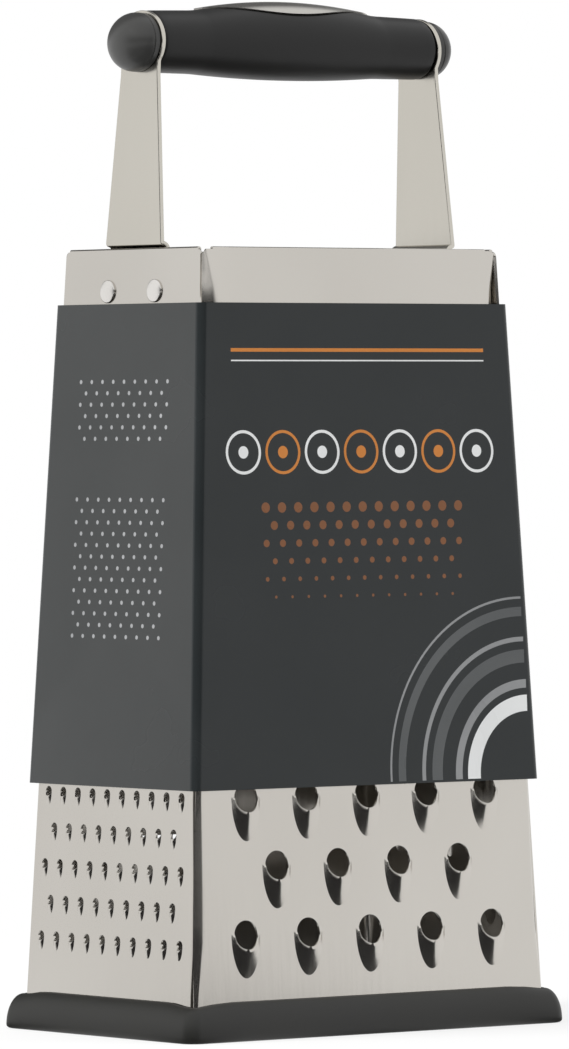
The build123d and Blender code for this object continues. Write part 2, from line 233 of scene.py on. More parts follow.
def steel(name, grain_scale, rough_low, rough_high, dark, light):
    """Steel with a fine grain, drawn out where its scale is small"""
    made = material(name, light, roughness=rough_low, metallic=1.0)
    grain = noise(made, grain_scale, 5.0)
    add_roughness(made, grain, rough_low, rough_high)
    add_bump(made, grain, STEEL_BUMP)
    add_tint(made, noise(made, STEEL_TINT_SCALE, 2.0), dark, light)
    return made


def soft(name, dark, light, rough_low, rough_high, grain, grain_height, specular=0.5):
    """Rubber, plastic or card, with a close grain and a broad change of colour and roughness"""
    made = material(name, light, roughness=rough_low, specular=specular)
    close = noise(made, (grain, grain, grain), 3.0)
    broad = noise(made, SOFT_TINT_SCALE, 3.0)
    add_roughness(made, broad, rough_low, rough_high)
    add_bump(made, close, grain_height)
    add_tint(made, broad, dark, light)
    return made


def ink(name, dark, light, rough_low=0.26, rough_high=0.32, specular=0.32):
    """A colour of the card or printed on it; the narrow sides' card colour is the face's made lighter,
    painted light
    """
    return soft(name, dark, light, rough_low, rough_high, CARD_GRAIN, CARD_BUMP, specular)


panel_steel = steel("panel_steel", (1500, 1500, 40), 0.15, 0.19, (0.55, 0.525, 0.485), (0.585, 0.56, 0.52))
strap_steel = steel("strap_steel", (900, 900, 30), 0.19, 0.24, (0.55, 0.525, 0.47), (0.585, 0.56, 0.505))
bright_steel = steel("bright_steel", (400, 400, 400), 0.2, 0.25, (0.72, 0.70, 0.67), (0.76, 0.74, 0.71))
plate_steel = steel("plate_steel", (30, 1200, 1200), 0.2, 0.27, (0.50, 0.485, 0.455), (0.54, 0.525, 0.49))
grip_rubber = soft("grip_rubber", (0.009, 0.009, 0.009), (0.012, 0.012, 0.012), 0.38, 0.46, 2600, 0.01 * MM,
                   specular=0.3)
cap_plastic = soft("cap_plastic", (0.025, 0.025, 0.024), (0.031, 0.031, 0.030), 0.3, 0.36, 1800, 0.006 * MM)
ring_rubber = soft("ring_rubber", (0.009, 0.009, 0.008), (0.013, 0.013, 0.011), 0.42, 0.5, 2400, 0.012 * MM)
card_face = ink("card_face", (0.014, 0.017, 0.018), (0.017, 0.020, 0.021), 0.22, 0.28)
# The narrow sides' card: the face's card made lighter and glossier, painted light for the sides that catch
# more light
card_side_painted_light = ink("card_side_painted_light", (0.022, 0.024, 0.024), (0.026, 0.028, 0.028), 0.22, 0.28, specular=0.36)
print_white = ink("print_white", (0.68, 0.69, 0.69), (0.74, 0.75, 0.75))
print_orange = ink("print_orange", (0.50, 0.175, 0.030), (0.56, 0.20, 0.038))
print_brown = ink("print_brown", (0.175, 0.068, 0.026), (0.20, 0.08, 0.032))
print_grey = ink("print_grey", (0.22, 0.225, 0.23), (0.27, 0.275, 0.28))
print_dim = ink("print_dim", (0.075, 0.08, 0.082), (0.095, 0.10, 0.102))
card_edge = soft("card_edge", (0.10, 0.10, 0.098), (0.14, 0.14, 0.135), 0.7, 0.8, 3000, 0.02 * MM)
card_back = soft("card_back", (0.42, 0.40, 0.36), (0.50, 0.48, 0.44), 0.75, 0.85, 1200, 0.02 * MM)


# Meshes

class Skin:
    """Points and faces that grow into one mesh"""

    def __init__(self):
        self.points = []
        self.faces = []
        self.slots = []

    def add(self, points, faces, slot=0):
        start = len(self.points)
        self.points += [tuple(p) for p in points]
        self.faces += [tuple(start + n for n in face) for face in faces]
        self.slots += [slot] * len(faces)

    def add_grid(self, rows, outward=None, around=False, slot=0):
        """Quads over rows of points. The first quad's normal is turned to outward."""
        columns = len(rows[0])
        faces = []
        for r in range(len(rows) - 1):
            for c in range(columns if around else columns - 1):
                d = (c + 1) % columns
                low, high = r * columns, (r + 1) * columns
                faces.append((low + c, low + d, high + d, high + c))
        if outward is not None:
            a, b, c = (Vector(p) for p in (rows[0][0], rows[0][1], rows[1][0]))
            if (b - a).cross(c - a).dot(Vector(outward)) < 0:
                faces = [face[::-1] for face in faces]
        self.add([p for row in rows for p in row], faces, slot)


def sharpen(mesh, points):
    """Mark the edges between the given points as sharp"""
    tree = KDTree(len(points))
    for n, point in enumerate(points):
        tree.insert(point, n)
    tree.balance()
    on_crease = [tree.find(vertex.co)[2] < CREASE_REACH for vertex in mesh.vertices]
    for edge in mesh.edges:
        if on_crease[edge.vertices[0]] and on_crease[edge.vertices[1]]:
            edge.use_edge_sharp = True


def build(name, skin, materials, body, nodes, sharp=40, merge=0.004 * MM, closed=False, creased=None):
    """The mesh of a skin as a piece that rides on a body and stands for CAD nodes"""
    mesh = bpy.data.meshes.new(name)
    mesh.from_pydata(skin.points, [], skin.faces)
    for surface in materials:
        mesh.materials.append(surface)
    mesh.polygons.foreach_set("material_index", skin.slots)
    work = bmesh.new()
    work.from_mesh(mesh)
    bmesh.ops.remove_doubles(work, verts=work.verts, dist=merge)
    if closed:
        bmesh.ops.recalc_face_normals(work, faces=work.faces)
    work.to_mesh(mesh)
    work.free()
    mesh.polygons.foreach_set("use_smooth", [True] * len(mesh.polygons))
    mesh.set_sharp_from_angle(angle=math.radians(sharp))
    if creased:
        sharpen(mesh, creased)
    piece = linked(name, mesh)
    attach(piece, body)
    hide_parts(*nodes)
    return piece


def thicken(piece, thickness):
    """Give a skin its thickness, inwards"""
    solid = piece.modifiers.new("thickness", "SOLIDIFY")
    solid.thickness = thickness
    solid.offset = -1
    solid.use_even_offset = True
    solid.use_quality_normals = True


def round_edges(piece, radius, segments):
    edge = piece.modifiers.new("edge", "BEVEL")
    edge.width = radius
    edge.segments = segments
    edge.limit_method = "ANGLE"
    edge.angle_limit = math.radians(50)
    edge.use_clamp_overlap = True
    normals = piece.modifiers.new("normals", "WEIGHTED_NORMAL")
    normals.keep_sharp = True
    normals.weight = 100


def inside_loop(points, loop):
    """Which points lie inside a closed loop"""
    x, y = points[:, 0], points[:, 1]
    inside = np.zeros(len(points), bool)
    for (x0, y0), (x1, y1) in zip(loop, loop[1:] + loop[:1]):
        if y0 != y1:
            crosses = (y0 > y) != (y1 > y)
            inside ^= crosses & (x < (x1 - x0) * (y - y0) / (y1 - y0) + x0)
    return inside


def inside_small(points, loop):
    """The same for a small loop, of which most points are well clear"""
    low, high = np.min(loop, axis=0), np.max(loop, axis=0)
    inside = np.all((points > low) & (points < high), axis=1)
    inside[inside] = inside_loop(points[inside], loop)
    return inside


def triangles(loops, points):
    """Triangles along closed loops and through loose points: corners, faces and the faces' middles"""
    coords, edges = [], []
    for loop in loops:
        start = len(coords)
        coords += loop
        edges += [(start + n, start + (n + 1) % len(loop)) for n in range(len(loop))]
    found = delaunay_2d_cdt([Vector(p) for p in coords + points], edges, [], 0, MESH_GAP)
    corners = np.array([tuple(p) for p in found[0]])
    faces = np.array([list(face) for face in found[2]])
    return corners, faces, corners[faces].mean(axis=1)


# Teeth

LIP_FADE = 0.12
HOOD_REACH = 0.9999
LEAST_SHARE = 1e-6


@dataclass
class Teeth:
    """One kind of tooth, a round hole whose lower rim is pushed out, and its pattern on a panel"""
    hole: float
    lip: float
    tail: float
    width: float
    crest: float
    first: float
    pitch: float
    rows: int
    columns: int
    pitch_share: float
    count: int
    shares: list

    def places(self, half_width, tilt):
        found = []
        for row in range(self.rows):
            z = self.first + row * self.pitch
            for step in staggered(row, self.columns, self.pitch_share):
                found.append((step * half_width(z), z / math.cos(tilt)))
        return found

    def ring(self, place, share):
        """A loop between the hole's rim and the foot of the hood"""
        loop = []
        for n in range(self.count):
            a = 2 * math.pi * (n + 0.5) / self.count
            reach = self.tail if math.sin(a) < 0 else self.width
            x = (1 - share) * self.hole * math.cos(a) + share * self.width * math.cos(a)
            y = (1 - share) * self.hole * math.sin(a) + share * reach * math.sin(a)
            loop.append((place[0] + x, place[1] + y))
        return loop

    def height(self, points, places):
        """How far the teeth push the sheet out at each point"""
        total = np.zeros(len(points))
        for u, v in places:
            x, y = points[:, 0] - u, points[:, 1] - v
            near = (np.abs(x) < self.width) & (y > -self.tail) & (y < self.width)
            reach = (x[near] / self.width) ** 2 + (np.minimum(y[near], 0) / self.tail) ** 2
            near[near] &= reach < HOOD_REACH
            x, y = x[near], y[near]
            down = np.minimum(y, 0)
            width = self.width * np.sqrt(np.maximum(1 - (down / self.tail) ** 2, LEAST_SHARE))
            crest = self.lip * (self.tail + down) / (self.tail - self.hole)
            across = np.clip(np.abs(x) / width, 0, 1)
            most = math.hypot(1, self.crest) - self.crest
            side = 1 - (np.sqrt(across**2 + self.crest**2) - self.crest) / most
            fade = smoothstep(1 - np.maximum(y, 0) / (LIP_FADE * self.hole))
            total[near] = np.maximum(total[near], crest * side * fade)
        return total

    def pattern(self, half_width, tilt):
        """All the teeth of a panel: holes, the hoods' outlines, points between them, and the heights"""
        places = self.places(half_width, tilt)
        holes = [self.ring(place, 0) for place in places]
        creases = [self.ring(place, 1) for place in places]
        points = [q for place in places for share in self.shares for q in self.ring(place, share)]
        return holes, creases, points, lambda corners: self.height(corners, places)


coarse = Teeth(
    hole=3.65 * MM, lip=1.4 * MM, tail=10.9 * MM, width=4.55 * MM, crest=0.22, first=26.4 * MM,
    pitch=17.25 * MM, rows=9, columns=5, pitch_share=0.355, count=40, shares=[0.12, 0.34, 0.58, 0.82],
)
medium = Teeth(
    hole=2.4 * MM, lip=0.8 * MM, tail=7.2 * MM, width=2.9 * MM, crest=0.25, first=31.5 * MM,
    pitch=17.25 * MM, rows=9, columns=6, pitch_share=0.30, count=24, shares=[0.22, 0.6],
)
fine = Teeth(
    hole=1.25 * MM, lip=0.5 * MM, tail=3.9 * MM, width=1.3 * MM, crest=0.8, first=24.1 * MM,
    pitch=9.27 * MM, rows=13, columns=10, pitch_share=0.184, count=16, shares=[0.22, 0.6],
)


def wide_place(side):
    """The outer face of a wide panel, v up the slope; side is -1 at the front"""
    along = Vector((-side, 0, 0))
    out = Vector((0, side * math.cos(DEEP_TILT), math.sin(DEEP_TILT)))
    return Vector((0, side * half_depth(0), 0)), along, out.cross(along), out


def narrow_place(side):
    """The outer face of a narrow panel, v up the slope; side is -1 at the left"""
    along = Vector((0, side, 0))
    out = Vector((side * math.cos(LONG_TILT), 0, math.sin(LONG_TILT)))
    return Vector((side * half_length(0), 0, 0)), along, out.cross(along), out


def placed(place, points):
    """Points u, v, w on a face, in the row frame"""
    origin, along, up, out = (np.array(v) for v in place)
    p = np.asarray(points, float).reshape(-1, 3)
    return origin + p[:, :1] * along + p[:, 1:2] * up + p[:, 2:] * out


def add_face(skin, place, outline, holes, creases, points, height):
    """A sheet over an outline with holes, raised by height"""
    corners, faces, middle = triangles([outline] + holes + creases, points)
    keep = inside_loop(middle, outline)
    for loop in holes:
        keep &= ~inside_small(middle, loop)
    raised = np.column_stack([corners, height(corners)])
    skin.add(placed(place, raised), [tuple(face) for face in faces[keep]])


def add_hem(skin, place, edge):
    """The top edge rolled inwards and folded down behind the sheet"""
    rows = [[(u, v, 0) for u, v in edge]]
    for a in between(0, math.pi, HEM_STEPS)[1:]:
        rise, back = HEM_ROLL * math.sin(a), HEM_ROLL * (math.cos(a) - 1)
        rows.append([(u, v + rise, back) for u, v in edge])
    rows.append([(u, v - HEM_HEIGHT, -2 * HEM_ROLL) for u, v in edge])
    skin.add_grid([placed(place, row) for row in rows], outward=place[3])


def finish_panel(name, node, place, skin, creases):
    """The sheet of a panel from its outer skin, with sharp creases round the hoods"""
    creased = [tuple(placed(place, (u, v, 0))[0]) for loop in creases for u, v in loop]
    piece = build(name, skin, [panel_steel], "grater", [node], sharp=CREASE_ANGLE,
                  creased=creased)
    thicken(piece, SHEET)
    round_edges(piece, EDGE_ROUND, 1)


def wide_edge():
    """The right edge of a wide panel's flat part, from the foot to the fold"""
    rise = math.cos(DEEP_TILT)
    low, high = FOOT_HEIGHT / rise, (BODY_TOP - HEM_ROLL) / rise
    return [(float(half_length(v * rise) - bend_reach(v * rise)), v) for v in between(low, high, PANEL_ROWS)]


def add_bend(skin, side, hand):
    """One bent side of a wide panel with its flange; hand is 1 towards +u"""
    right = wide_edge()
    rows = []
    for _, v in right:
        z = v * math.cos(DEEP_TILT)
        share = (z - FOOT_HEIGHT) / (right[-1][1] * math.cos(DEEP_TILT) - FOOT_HEIGHT)
        row = []
        for t in between(0, 1, BEND_STEPS):
            dip = share**DIP_POWER * CORNER_DIP * smoothstep(t * DIP_SPREAD)
            h = z - dip
            flat, wall = half_length(h) - bend_reach(h), wall_inside(h)
            a = math.pi / 2 * t
            x = flat + (wall - flat) * math.sin(a)
            y = half_depth(h) - min(BEND_SIDE_SHARE * (wall - flat), BEND_SIDE_MOST) * (1 - math.cos(a))
            row.append((-side * hand * x, side * y, h))
        h = z - share**DIP_POWER * (CORNER_DIP + HEM_HEIGHT)
        row.append((-side * hand * wall_inside(h), side * (half_depth(h) - FLANGE_WIDTH), h))
        rows.append(row)
    skin.add_grid(rows, outward=wide_place(side)[3])


def wide_panel(name, node, side, holes, creases, points, height):
    place = wide_place(side)
    right = wide_edge()
    skin = Skin()
    hem_reach = wall_inside(BODY_TOP) - WIDE_HEM_INSET
    top = [(hem_reach * t, right[-1][1]) for t in between(1, -1, HEM_COLUMNS)]
    add_face(skin, place, right + top + mirrored(right), holes, creases, points, height)
    add_hem(skin, place, top)
    for hand in (-1, 1):
        add_bend(skin, side, hand)
    finish_panel(name, node, place, skin, creases)


def narrow_panel(name, node, side, teeth):
    place = narrow_place(side)
    low = (FOOT_HEIGHT + SHEET * LONG_SLOPE) / math.cos(LONG_TILT)
    high = (BODY_TOP - HEM_ROLL) / math.cos(LONG_TILT)
    right = []
    for v in between(low, high - NARROW_CORNER, PANEL_ROWS):
        z = v * math.cos(LONG_TILT)
        right.append((float(half_depth(z) - np.interp(z, SEAM_HEIGHTS, SEAM_WIDTHS)), v))
    edge = right[-1][0] - NARROW_CORNER
    for a in quarter_turn(NARROW_CORNER_STEPS)[1:-1]:
        right.append((edge + NARROW_CORNER * math.cos(a), high - NARROW_CORNER * (1 - math.sin(a))))
    top = [(edge * t, high) for t in between(1, -1, NARROW_HEM_COLUMNS)]
    holes, creases, points, height = teeth.pattern(half_depth, LONG_TILT)
    skin = Skin()
    add_face(skin, place, right + top + mirrored(right), holes, creases, points, height)
    add_hem(skin, place, top)
    finish_panel(name, node, place, skin, creases)


wide_panel("coarse_panel", "front_panel", -1, *coarse.pattern(half_length, DEEP_TILT))
narrow_panel("fine_panel", "left_panel", -1, fine)
narrow_panel("medium_panel", "right_panel", 1, medium)

# Slicing blades on the back panel
BLADE_FIRST = 44.5 * MM
BLADE_PITCH = 38 * MM
BLADE_COUNT = 4
BLADE_WIDTH_SHARE = 0.64
BLADE_RAISE = 1.3 * MM
BLADE_SLOT = 3.8 * MM
BLADE_RAMP = 13 * MM
BLADE_CHEEK = 5 * MM
BLADE_COLUMNS = 20
BLADE_BESIDE = 4
BLADE_STEPS = 9
SLOT_ROUND = 1.2 * MM
SLOT_STEPS = 4


def blade_places():
    heights = [BLADE_FIRST + n * BLADE_PITCH for n in range(BLADE_COUNT)]
    return [(z / math.cos(DEEP_TILT), BLADE_WIDTH_SHARE * half_length(z)) for z in heights]


def blade_slot_loop(v, half):
    """The opening over a cutting edge, with rounded upper corners"""
    edge = [(half * t, v) for t in between(-1, 1, BLADE_COLUMNS)]
    rise = BLADE_SLOT - SLOT_ROUND
    arc = [(SLOT_ROUND * math.cos(a), SLOT_ROUND * math.sin(a)) for a in quarter_turn(SLOT_STEPS)]
    right = [(half - SLOT_ROUND + x, v + rise + y) for x, y in arc]
    return edge + right + mirrored(right)


def blade_points():
    """Loose points over the ramps and beside them, but none on the cutting edges"""
    found = []
    for v, half in blade_places():
        for row in range(BLADE_STEPS + 1):
            for column in range(-BLADE_BESIDE, BLADE_COLUMNS + BLADE_BESIDE + 1):
                if row or not 0 <= column <= BLADE_COLUMNS:
                    u = half * (2 * column / BLADE_COLUMNS - 1)
                    found.append((u, v - BLADE_RAMP * row / BLADE_STEPS))
    return found


def blade_height(corners):
    total = np.zeros(len(corners))
    for v, half in blade_places():
        x, y = np.abs(corners[:, 0]), corners[:, 1] - v
        rise = np.clip(1 + y / BLADE_RAMP, 0, 1) * (y <= EDGE_ROUND)
        side = smoothstep(1 - (x - half + BLADE_CHEEK) / BLADE_CHEEK)
        total = np.maximum(total, BLADE_RAISE * rise * side)
    return total


wide_panel(
    "blade_panel", "back_panel", 1,
    [blade_slot_loop(v, half) for v, half in blade_places()], [], blade_points(), blade_height,
)

# The base ring: a profile carried round a rounded rectangle
RING_HEIGHT = 9.8 * MM
RING_OVERHANG = 4.4 * MM
RING_EDGE = 0.9 * MM
RING_LIP = 0.55 * MM
RING_LIP_DIP = 0.9 * MM
RING_DIP_REACH = 9 * MM
RING_CORNER = 1.6 * MM
RING_FIT = 0.15 * MM
RING_PLAY = 0.3 * MM
RING_WALL = 2.0 * MM
RING_WALL_HEIGHT = 7.4 * MM
RING_SIDE_STEPS = 20
RING_CORNER_STEPS = 8
RING_EDGE_STEPS = 3
RING_PROFILE_STEPS = 14
RING_LIP_DROP = 0.1 * MM
RING_CHAMFER = 0.3 * MM


def ring_station(half_x, half_y, corner):
    """Points round a rounded rectangle, with each point's distance from the nearest corner"""
    found = []
    for quarter in range(4):
        turn = math.pi / 2 * quarter
        ahead, flat = (half_x, half_y - corner) if quarter % 2 == 0 else (half_y, half_x - corner)
        c, s = round(math.cos(turn)), round(math.sin(turn))
        side = [(ahead, flat * t, flat - abs(flat * t)) for t in between(-1, 1, RING_SIDE_STEPS)[:-1]]
        for a in quarter_turn(RING_CORNER_STEPS)[:-1]:
            side.append((ahead - corner + corner * math.cos(a), flat + corner * math.sin(a), 0))
        found += [(c * x - s * y, s * x + c * y, away) for x, y, away in side]
    return found


def ring_profile():
    """Outset from the foot's outline, height, corner radius, and whether the height follows the lip"""
    lip_in = (RING_HEIGHT - FOOT_HEIGHT) * LONG_SLOPE
    found = []
    for a in quarter_turn(RING_EDGE_STEPS):
        out = RING_OVERHANG - lip_in - RING_EDGE * (1 - math.sin(a))
        found.append((out, RING_EDGE * (1 - math.cos(a)), RING_CORNER + RING_OVERHANG / 2, False))
    for a in quarter_turn(RING_PROFILE_STEPS, 1):
        out = RING_LIP + (RING_OVERHANG - RING_LIP) * math.cos(a) - lip_in
        height = RING_EDGE + (RING_HEIGHT - RING_EDGE) * math.sin(a)
        found.append((out, height, RING_CORNER + RING_OVERHANG / 2 * math.cos(a), True))
    inner = -2 * SHEET - RING_PLAY
    found.append((RING_FIT, RING_HEIGHT - RING_LIP_DROP, RING_CORNER, True))
    inside = [
        (RING_FIT, FOOT_HEIGHT),
        (inner, FOOT_HEIGHT),
        (inner, RING_WALL_HEIGHT - RING_CHAMFER),
        (inner - RING_CHAMFER, RING_WALL_HEIGHT),
        (inner - RING_WALL + RING_CHAMFER, RING_WALL_HEIGHT),
        (inner - RING_WALL, RING_WALL_HEIGHT - RING_CHAMFER),
        (inner - RING_WALL, RING_CHAMFER),
        (inner - RING_WALL + RING_CHAMFER, 0),
    ]
    return found + [(out, height, RING_CORNER, False) for out, height in inside]


def base_ring():
    skin = Skin()
    rows = []
    profile = ring_profile()
    for out, height, corner, follows in profile + profile[:1]:
        row = []
        for x, y, away in ring_station(FOOT_LENGTH / 2 + out, FOOT_DEPTH / 2 + out, corner):
            dip = RING_LIP_DIP * smoothstep(1 - away / RING_DIP_REACH) if follows else 0
            row.append((x, y, height - dip * height / RING_HEIGHT))
        rows.append(row)
    skin.add_grid(rows, around=True)
    build("ring", skin, [ring_rubber], "foot_ring", ["base_ring"], closed=True)


base_ring()

# Handle
GRIP_AXIS = 252.3 * MM
STRAP = 1.2 * MM
GRIP_END = 7.9 * MM
GRIP_FALL = 0.45 * MM
GRIP_END_DEPTH = 9.3 * MM
GRIP_END_LIFT = 0.3 * MM
GRIP_BOW = 0.25 * MM
SWELL = 1.6 * MM
SWELL_DEPTH = 0.7 * MM
SWELL_LIFT = 0.6 * MM
SWELL_REACH = 29.0 * MM
SWELL_BLEND = 0.03
GRIP_ROUND = 1.0 * MM
GRIP_GAP = 0.05 * MM
PLATE_LENGTH = 57.0 * MM
PLATE_WIDTH = 15.2 * MM
PLATE_THICKNESS = 0.8 * MM
PLATE_PROUD = 0.39 * MM
PLATE_FIT = 0.1 * MM
PLATE_GAP = 0.05 * MM
PLATE_WALL = 0.06 * MM
PLATE_EDGE = 0.18 * MM
PLATE_STEPS = 24
PLATE_COLUMNS = 16
CORE_HOLE = 4.1 * MM
LENS_STEPS = 20
TAIL_STEPS = 8
GRIP_ROUND_STEPS = 5
TOP_ANGLE_STEPS = 10
ROUND_ANGLE_STEPS = 46


def leg_inside(z):
    return half_length(z) - STRAP / math.cos(LONG_TILT)


GRIP_HALF = leg_inside(GRIP_AXIS) - GRIP_GAP


def grip_section(x):
    """Half height, half depth and axis height of the oval barrel at a place along it"""
    rise = 1 - (x / leg_inside(GRIP_AXIS)) ** 2
    swelling = 1 - (x / SWELL_REACH) ** 2
    swelling = (swelling + math.hypot(swelling, SWELL_BLEND)) / 2
    high = GRIP_END + GRIP_FALL * rise + SWELL * swelling
    deep = GRIP_END_DEPTH + SWELL_DEPTH * swelling
    return high, deep, GRIP_AXIS + GRIP_END_LIFT + GRIP_BOW * rise + SWELL_LIFT * swelling


def lens_half_width(x, grow):
    """Half width of the plate's pointed outline at a place along the grip"""
    half_long, half_wide = PLATE_LENGTH / 2 + grow, PLATE_WIDTH / 2 + grow
    arc = (half_long**2 + half_wide**2) / (2 * half_wide)
    return math.sqrt(max(arc**2 - x**2, 0)) - arc + half_wide


def grip_point(share, angle, drop):
    """A point of the grip's skin, or drop under it; angle 0 is the top"""
    high, deep, axis = grip_section(share * leg_inside(GRIP_AXIS))
    y, z = (deep - drop) * math.sin(angle), axis + (high - drop) * math.cos(angle)
    return share * (leg_inside(z) - GRIP_GAP), y, z


def grip_stations():
    """Places along the grip, as shares of its half length, each with how far the skin is drawn in there"""
    lens = [PLATE_LENGTH / 2 * math.sin(a) / GRIP_HALF for a in quarter_turn(LENS_STEPS)]
    tail = between(lens[-1], 1 - GRIP_ROUND / GRIP_HALF, TAIL_STEPS)[1:]
    half = [(share, 0.0) for share in lens + tail]
    for a in quarter_turn(GRIP_ROUND_STEPS, 1):
        half.append((1 - GRIP_ROUND * (1 - math.sin(a)) / GRIP_HALF, GRIP_ROUND * (1 - math.cos(a))))
    half.append((1.0, GRIP_END - CORE_HOLE))
    return mirrored(half[1:]) + half


def grip():
    """The barrel, with a recess for the plate in its top and a hole for the core at its ends"""
    skin = Skin()
    rows = []
    for share, inset in grip_stations():
        x = share * GRIP_HALF
        wide = lens_half_width(x, PLATE_FIT) if abs(x) < PLATE_LENGTH / 2 else 0
        recess = PLATE_THICKNESS - PLATE_PROUD if wide > 2 * PLATE_WALL else 0
        wide = max(wide, 2 * PLATE_WALL)
        deep = grip_section(x)[1]
        edge = math.asin(wide / deep)
        lip = math.asin((wide - PLATE_WALL) / deep)
        row = [grip_point(share, lip * t, inset + recess) for t in between(-1, 1, TOP_ANGLE_STEPS)]
        for n in range(ROUND_ANGLE_STEPS + 1):
            angle = edge + (2 * math.pi - 2 * edge) * n / ROUND_ANGLE_STEPS
            row.append(grip_point(share, angle, inset))
        rows.append(row)
    skin.add_grid(rows, around=True)
    build("barrel_grip", skin, [grip_rubber], "grater", ["grip"], sharp=50,
          merge=0.001 * MM, closed=True)


def inlay_plate():
    skin = Skin()
    rows = []
    for a in quarter_turn(PLATE_STEPS, -PLATE_STEPS):
        x = (PLATE_LENGTH / 2 - PLATE_GAP) * math.sin(a)
        deep = grip_section(x)[1] + PLATE_PROUD
        edge = math.asin(max(lens_half_width(x, 0), 0) / deep)
        angles = [edge * t for t in between(-1, 1, PLATE_COLUMNS)]
        rows.append([grip_point(x / GRIP_HALF, angle, -PLATE_PROUD) for angle in angles])
    skin.add_grid(rows, outward=(0, 0, 1))
    piece = build("lens_plate", skin, [plate_steel], "grater", ["inlay_plate"])
    thicken(piece, PLATE_THICKNESS - PLATE_GAP)
    round_edges(piece, PLATE_EDGE, 3)


grip()
inlay_plate()

# The straps, from the tabs inside the body to the oval heads
HEAD_HIGH = 8.2 * MM
HEAD_DEEP = 9.5 * MM
LEG_HEAD_WIDTH = 15.4 * MM
LEG_ROOT_WIDTH = 23.4 * MM
LEG_ROOT_RISE = 0.7 * MM
LEG_ROOT_CLEAR = 0.15 * MM
TAB_WIDTH = 25.0 * MM
TAB_DROP = 19.0 * MM
JOGGLE = 1.3 * MM
JOGGLE_DROP = 6.5 * MM
JOGGLE_RUN = 2.4 * MM
LEG_BEND = 2.2 * MM
LEG_EDGE = 0.14 * MM
LEG_EDGE_STEPS = 3
LEG_COLUMNS = 8
SUPPORT = 0.06 * MM
HEAD_STEPS = 26
CORNER_STEPS = 6
CUT_MOST = 0.45


def rounded(points, radius):
    """A run of points with its corners rounded"""
    found = [points[0]]
    for before, corner, after in zip(points, points[1:], points[2:]):
        into, out = (Vector(corner) - Vector(before)), (Vector(after) - Vector(corner))
        turn = into.angle(out)
        cut = min(radius * math.tan(turn / 2), into.length * CUT_MOST, out.length * CUT_MOST)
        start = Vector(corner) - into.normalized() * cut
        end = Vector(corner) + out.normalized() * cut
        for t in between(0, 1, CORNER_STEPS):
            found.append(tuple((1 - t) ** 2 * start + 2 * t * (1 - t) * Vector(corner) + t**2 * end))
    return found + [points[-1]]


def leg_path():
    """The strap's outer face from the side: x and z from the tab to the top of the head"""
    tab, step, root = BODY_TOP - TAB_DROP, BODY_TOP - JOGGLE_DROP, BODY_TOP + LEG_ROOT_RISE
    neck = -math.asin(math.sqrt(1 - (LEG_HEAD_WIDTH / 2 / HEAD_DEEP) ** 2))
    path = rounded([
        (wall_inside(tab), tab), (wall_inside(step), step),
        (wall_inside(step + JOGGLE_RUN) - JOGGLE, step + JOGGLE_RUN),
        (wall_inside(BODY_TOP) - JOGGLE, BODY_TOP + LEG_ROOT_CLEAR),
        (half_length(root), root), (half_length(GRIP_AXIS - HEAD_HIGH), GRIP_AXIS - HEAD_HIGH),
    ], LEG_BEND)
    for a in between(neck, math.pi / 2, HEAD_STEPS):
        z = GRIP_AXIS + HEAD_HIGH * math.sin(a)
        path.append((half_length(z), z))
    return path


def leg_half_width(z):
    """Half width of a strap at a height: tab, taper, neck and oval head"""
    low, root, neck = BODY_TOP - TAB_DROP, BODY_TOP + LEG_ROOT_RISE, GRIP_AXIS - HEAD_HIGH
    widths = [TAB_WIDTH / 2, LEG_ROOT_WIDTH / 2, LEG_HEAD_WIDTH / 2, LEG_HEAD_WIDTH / 2]
    strap_width = np.interp(z, [low, root, neck, GRIP_AXIS], widths) if z < GRIP_AXIS else 0
    head = HEAD_DEEP * math.sqrt(max(1 - ((z - GRIP_AXIS) / HEAD_HIGH) ** 2, 0))
    return max(float(strap_width), head)


def leg(name, node, side):
    """A strap: its outline carried round the edges from the outer to the inner face, and both faces"""
    path = leg_path()
    wide = [leg_half_width(z) for _, z in path]
    run = [0.0]
    for (x0, z0), (x1, z1) in zip(path, path[1:]):
        run.append(run[-1] + math.hypot(x1 - x0, z1 - z0))
    last = len(path) - 1
    spans = [(max(n - 1, 0), min(n + 1, last)) for n in range(last + 1)]
    slopes = [Vector((run[b] - run[a], wide[b] - wide[a])).normalized() for a, b in spans]
    across = [(-slope.y, slope.x) for slope in slopes[:-1]] + [(1.0, 0.0)]

    def at(n, inset, depth):
        """Half width, x and z of the outline's point n, moved in along the face and down into the strap"""
        (x0, z0), (x1, z1) = (path[m] for m in spans[n])
        dx, dz = x1 - x0, z1 - z0
        size = math.hypot(dx, dz)
        back = inset * across[n][0] if n else -inset
        x = path[n][0] - back * dx / size - depth * dz / size
        z = path[n][1] - back * dz / size + depth * dx / size
        return max(wide[n] - inset * across[n][1], 0), x, z

    turns = quarter_turn(LEG_EDGE_STEPS)
    profile = [(LEG_EDGE * (1 - math.sin(a)), LEG_EDGE * (1 - math.cos(a))) for a in turns]
    profile += [(inset, STRAP - depth) for inset, depth in reversed(profile)]
    skin = Skin()
    loops = []
    for inset, depth in profile:
        half = [at(n, inset, depth) for n in range(last + 1)]
        other = [(side * x, -y, z) for y, x, z in reversed(half)]
        loops.append([(side * x, y, z) for y, x, z in half] + other)
    skin.add_grid(loops, around=True)
    for depth in (0, STRAP):
        rows = [at(0, inset, depth) for inset in (LEG_EDGE, LEG_EDGE + SUPPORT)]
        rows += [at(n, LEG_EDGE, depth) for n in range(1, last + 1)]
        grid = []
        for y, x, z in rows:
            inner = max(y - SUPPORT, 0)
            places = [-y] + [inner * t for t in between(-1, 1, LEG_COLUMNS)] + [y]
            grid.append([(side * x, place, z) for place in places])
        skin.add_grid(grid)
    build(name, skin, [strap_steel], "grater", [node], sharp=60, merge=0.002 * MM,
          closed=True)


leg("left_strap", "left_leg", -1)
leg("right_strap", "right_leg", 1)


